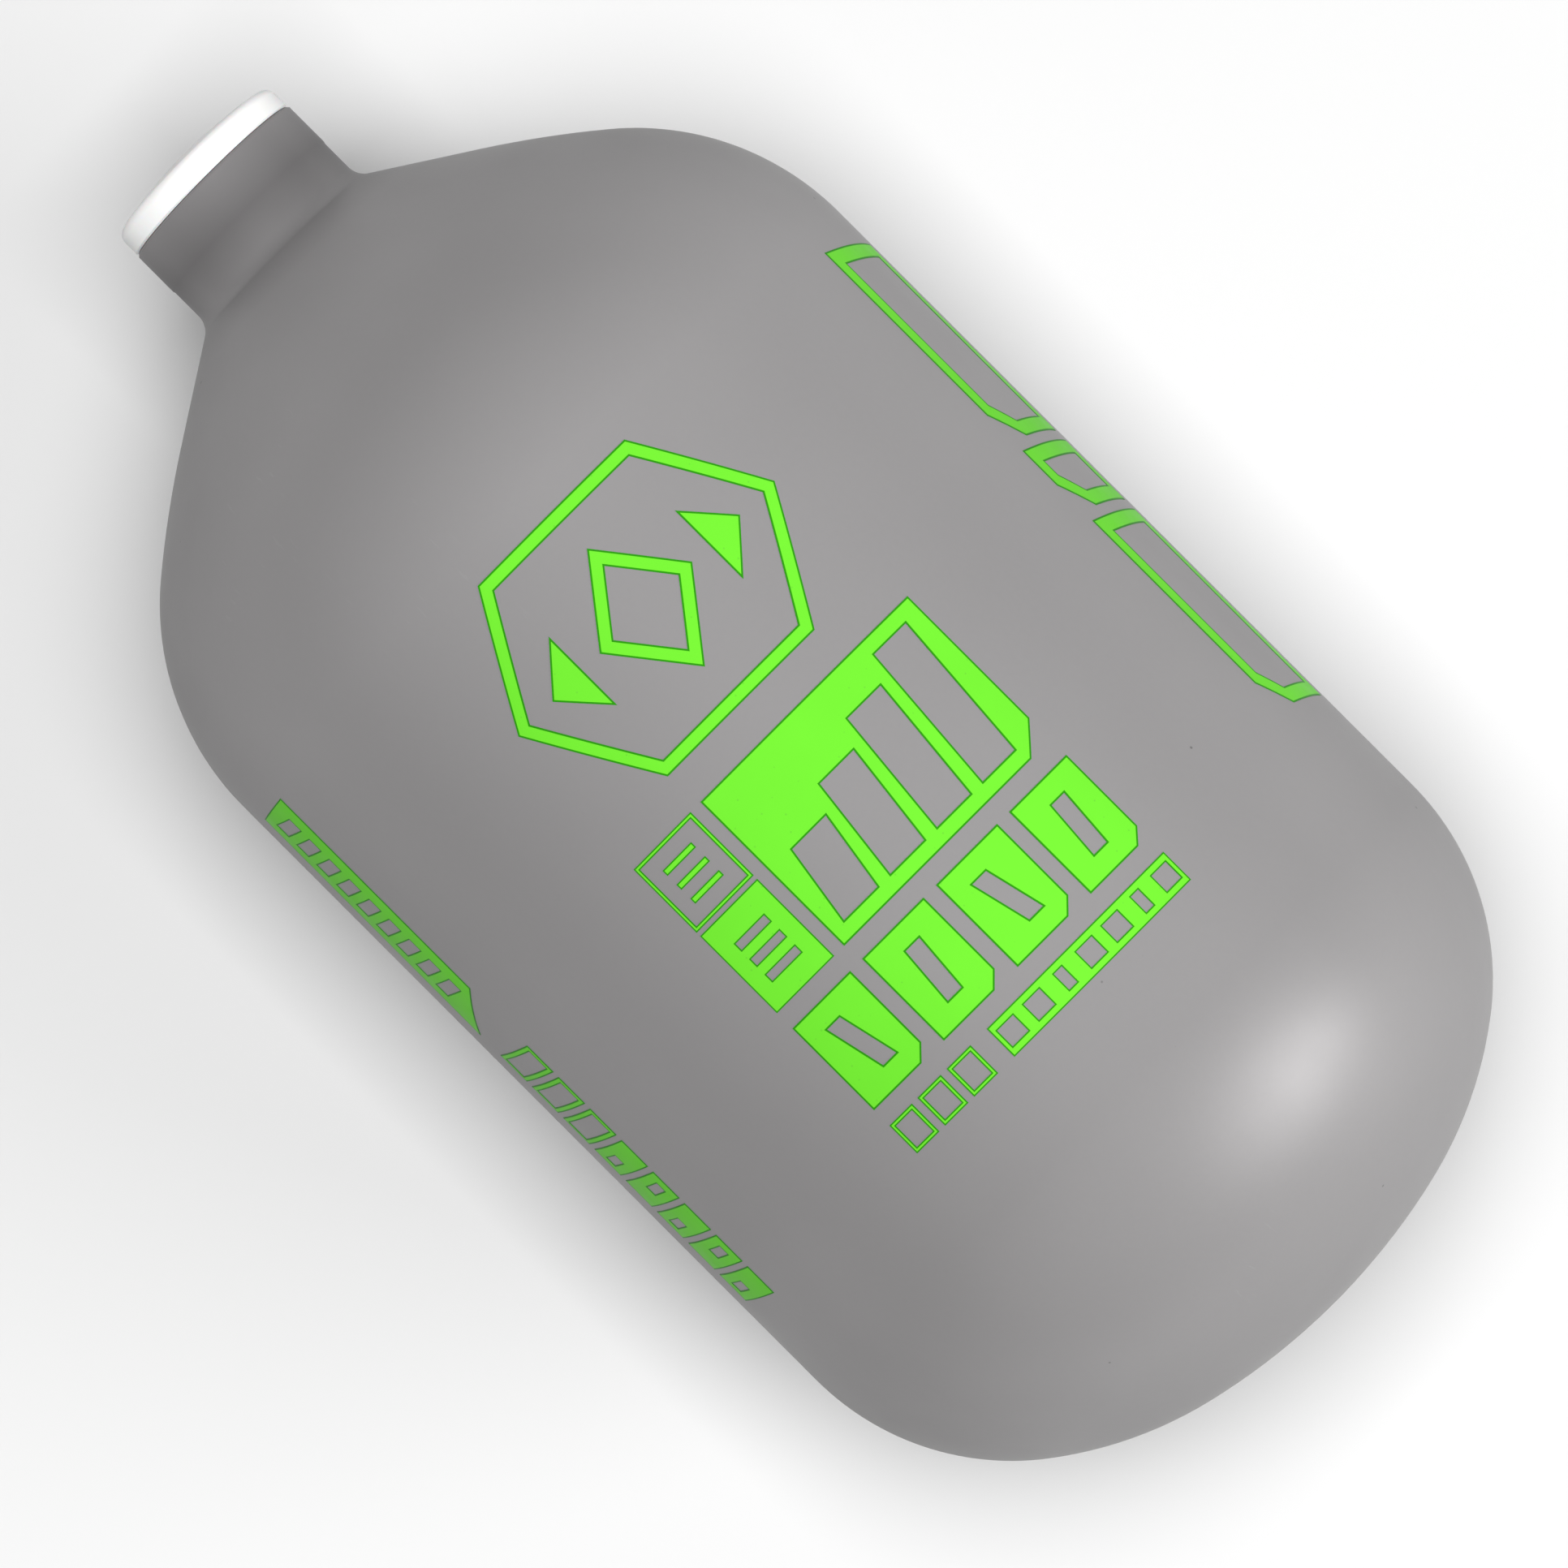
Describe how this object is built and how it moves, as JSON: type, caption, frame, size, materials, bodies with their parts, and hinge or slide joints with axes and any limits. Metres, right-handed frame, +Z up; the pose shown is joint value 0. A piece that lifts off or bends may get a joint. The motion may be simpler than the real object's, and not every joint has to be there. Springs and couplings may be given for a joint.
{
  "type": "compressed-air bottle",
  "caption": "Carbon-wrapped compressed-air bottle lying on its side, with domed ends, a narrow threaded neck, printed films and a screw-in protector plug.",
  "frame": {"origin": "middle of the bottle's footprint, on the ground it lies on", "axes": "+X along the bottle's axis from the neck to the closed base, +Z up through the printed side"},
  "size_m": [0.2088, 0.1082, 0.1083],
  "materials": {
    "grey_coat": "matte sprayed coat",
    "green_ink": "satin printed film",
    "white_nylon": "satin moulded nylon",
    "seal_rubber": "matte moulded rubber",
    "liner_aluminium": "machined",
    "carbon_epoxy": "filament-wound carbon in epoxy",
    "glass_epoxy": "filament-wound glass in epoxy",
    "label_film": "satin printed label, blank"
  },
  "bodies": {
    "bottle": {"liner": "liner_aluminium", "isolation_ply": "glass_epoxy", "inner_hoop_ply": "carbon_epoxy", "inner_helical_ply": "carbon_epoxy", "outer_hoop_ply": "carbon_epoxy", "outer_helical_ply": "carbon_epoxy", "glass_ply": "glass_epoxy", "finish_coat": "grey_coat", "spec_label": "label_film", "emblem_print": "green_ink", "unit_print": "green_ink", "capacity_print": "green_ink", "pressure_print": "green_ink", "grade_print": "green_ink", "weight_print": "green_ink", "right_side_print": "green_ink", "left_strip_print": "green_ink", "left_side_print": "green_ink"},
    "seal": {"plug_seal": "seal_rubber"},
    "plug": {"protector_plug": "white_nylon"}
  },
  "joints": [
    {"name": "plug_lift", "type": "slide", "parent": "bottle", "child": "seal", "axis": [-1, 0, 0], "range_m": [0, 0.01411]},
    {"name": "plug_turn", "type": "hinge", "parent": "seal", "child": "plug", "pos_m": [-0.09947, 0, 0.0541], "axis": [-1, 0, 0], "range_deg": [0, 3600]}
  ],
  "couplings": [
    {"joint": "plug_turn", "follows": "plug_lift", "rad_per_m": 4453}
  ]
}
